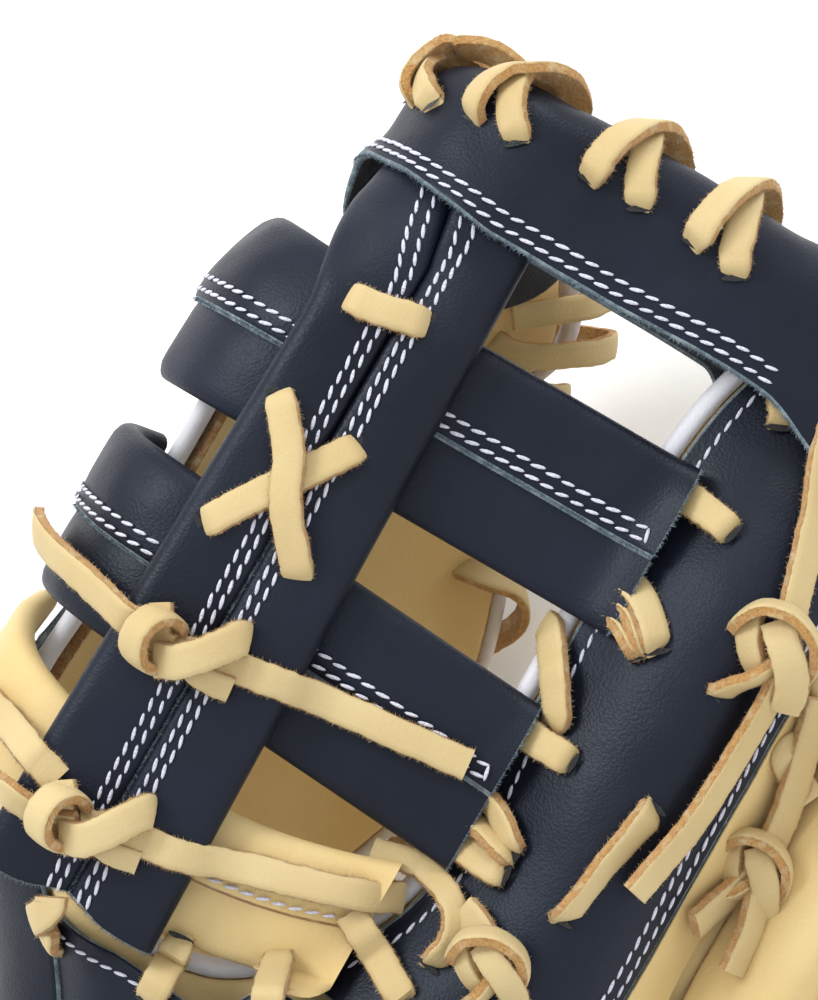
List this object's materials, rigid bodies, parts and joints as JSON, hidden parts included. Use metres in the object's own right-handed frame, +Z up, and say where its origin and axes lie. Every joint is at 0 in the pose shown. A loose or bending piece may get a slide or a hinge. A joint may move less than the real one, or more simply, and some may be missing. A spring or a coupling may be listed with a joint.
{
  "type": "first baseman mitt",
  "caption": "First baseman mitt for the right hand: padded palm, hollow back with finger and thumb stalls, and an open web of post, folded bars and rail tied with laces.",
  "frame": {"origin": "centre of the bounding box's bottom face, on the floor that the mitt rests on palm down", "axes": "+Y runs from heel to fingertips, +X from thumb to little finger, +Z up, away from the pocket"},
  "size_m": [0.2292, 0.327, 0.147],
  "materials": {
    "navy_leather": "satin, fine grain",
    "tan_leather": "satin, smooth grain",
    "lace_rawhide": "smooth grain face, fuzzy suede sides",
    "white_piping": "satin"
  },
  "bodies": {
    "root": {"base_bar": "tan_leather", "base_knot": "lace_rawhide", "crotch_knot": "lace_rawhide", "crotch_lace_1": "lace_rawhide", "crotch_lace_2": "lace_rawhide", "crotch_lace_3": "lace_rawhide", "crotch_lace_left": "lace_rawhide", "crotch_lace_middle": "lace_rawhide", "finger_knot": "lace_rawhide", "finger_rim_lace": "lace_rawhide", "finger_rim_piping": "white_piping", "hand_back": "navy_leather", "index_back": "navy_leather", "index_side": "tan_leather", "little_back": "tan_leather", "lower_bar": "navy_leather", "lower_bar_lace_high": "lace_rawhide", "lower_bar_lace_low": "lace_rawhide", "middle_back": "tan_leather", "palm_shell": "tan_leather", "piping_lace": "lace_rawhide", "post": "navy_leather", "post_knot": "lace_rawhide", "post_lace_over": "lace_rawhide", "post_lace_top": "lace_rawhide", "post_lace_under": "lace_rawhide", "rail_lace_1_over": "lace_rawhide", "rail_lace_1_under": "lace_rawhide", "rail_lace_2_over": "lace_rawhide", "rail_lace_2_under": "lace_rawhide", "rail_lace_3_over": "lace_rawhide", "rail_lace_3_under": "lace_rawhide", "rail_lace_4_over": "lace_rawhide", "rail_lace_4_under": "lace_rawhide", "ring_back": "tan_leather", "running_lace": "lace_rawhide", "stall_knot": "lace_rawhide", "stall_lace": "lace_rawhide", "thumb_back": "navy_leather", "thumb_rim_lace": "lace_rawhide", "thumb_rim_piping": "white_piping", "top_rail": "navy_leather", "upper_bar": "navy_leather", "upper_bar_lace_high": "lace_rawhide", "upper_bar_lace_low": "lace_rawhide", "web_piping": "white_piping", "wrist_strap": "tan_leather"}
  },
  "joints": []
}
